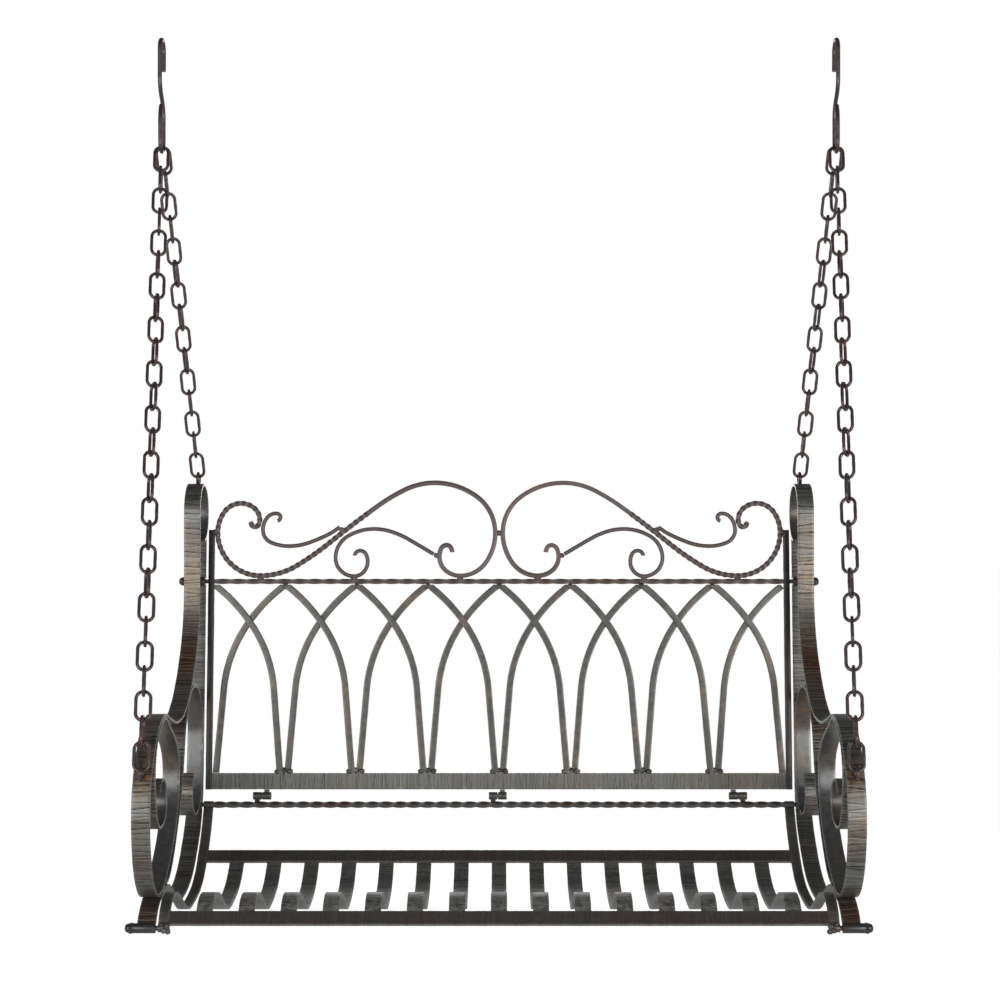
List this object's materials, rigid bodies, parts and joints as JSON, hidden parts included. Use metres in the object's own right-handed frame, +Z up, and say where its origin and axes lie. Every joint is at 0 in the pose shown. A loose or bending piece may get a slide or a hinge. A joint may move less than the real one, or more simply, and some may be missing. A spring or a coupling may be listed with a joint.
{
  "type": "porch swing",
  "caption": "Hanging metal porch swing: slatted S-curved seat, arched scroll back that folds, scrolled flat-bar arms, chains and hooks.",
  "frame": {"origin": "middle of the hanging line, at the inner top of the two hooks", "axes": "+X right as seen from the front, +Y to the back of the swing, +Z up"},
  "size_m": [1.2918, 0.6714, 1.6077],
  "materials": {
    "frame": "hammered, satin, rubbed at the edges",
    "seat": "hammered, satin, dark",
    "rod": "twisted bar and rod, satin",
    "chain": "satin",
    "hardware": "satin"
  },
  "bodies": {
    "hooks": {"left_hook": "chain", "right_hook": "chain"},
    "swing": {"acorn_nuts": "hardware", "frame_bolts": "hardware", "hinge_pins": "hardware", "left_arm_bar": "frame", "left_frame_bushes": "frame", "left_front_chain": "chain", "left_front_eye": "chain", "left_infill_scroll": "frame", "left_rear_chain": "chain", "left_rear_eye": "chain", "left_seat_side_bar": "seat", "left_seat_support": "frame", "right_arm_bar": "frame", "right_frame_bushes": "frame", "right_front_chain": "chain", "right_front_eye": "chain", "right_infill_scroll": "frame", "right_rear_chain": "chain", "right_rear_eye": "chain", "right_seat_side_bar": "seat", "right_seat_support": "frame", "seat_front_rail": "seat", "seat_hinge_rail": "seat", "seat_knuckles": "seat", "seat_lugs": "seat", "seat_rear_rail": "seat", "seat_slat_1": "seat", "seat_slat_10": "seat", "seat_slat_11": "seat", "seat_slat_12": "seat", "seat_slat_13": "seat", "seat_slat_14": "seat", "seat_slat_15": "seat", "seat_slat_2": "seat", "seat_slat_3": "seat", "seat_slat_4": "seat", "seat_slat_5": "seat", "seat_slat_6": "seat", "seat_slat_7": "seat", "seat_slat_8": "seat", "seat_slat_9": "seat"},
    "back": {"back_bottom_rail": "rod", "back_knuckles": "hardware", "back_top_rail": "rod", "front_arch_bars": "frame", "left_back_upright": "frame", "left_crest_scroll": "rod", "left_inner_tendril": "rod", "left_outer_tendril": "rod", "rear_arch_bars": "frame", "right_back_upright": "frame", "right_crest_scroll": "rod", "right_inner_tendril": "rod", "right_outer_tendril": "rod"}
  },
  "joints": [
    {"name": "swing", "type": "hinge", "parent": "hooks", "child": "swing", "pos_m": [0, 0, -0.187], "axis": [1, 0, 0], "range_deg": [-25, 25]},
    {"name": "back_fold", "type": "hinge", "parent": "swing", "child": "back", "pos_m": [0, 0.18429, -1.43873], "axis": [1, 0, 0], "range_deg": [0, 92]}
  ]
}
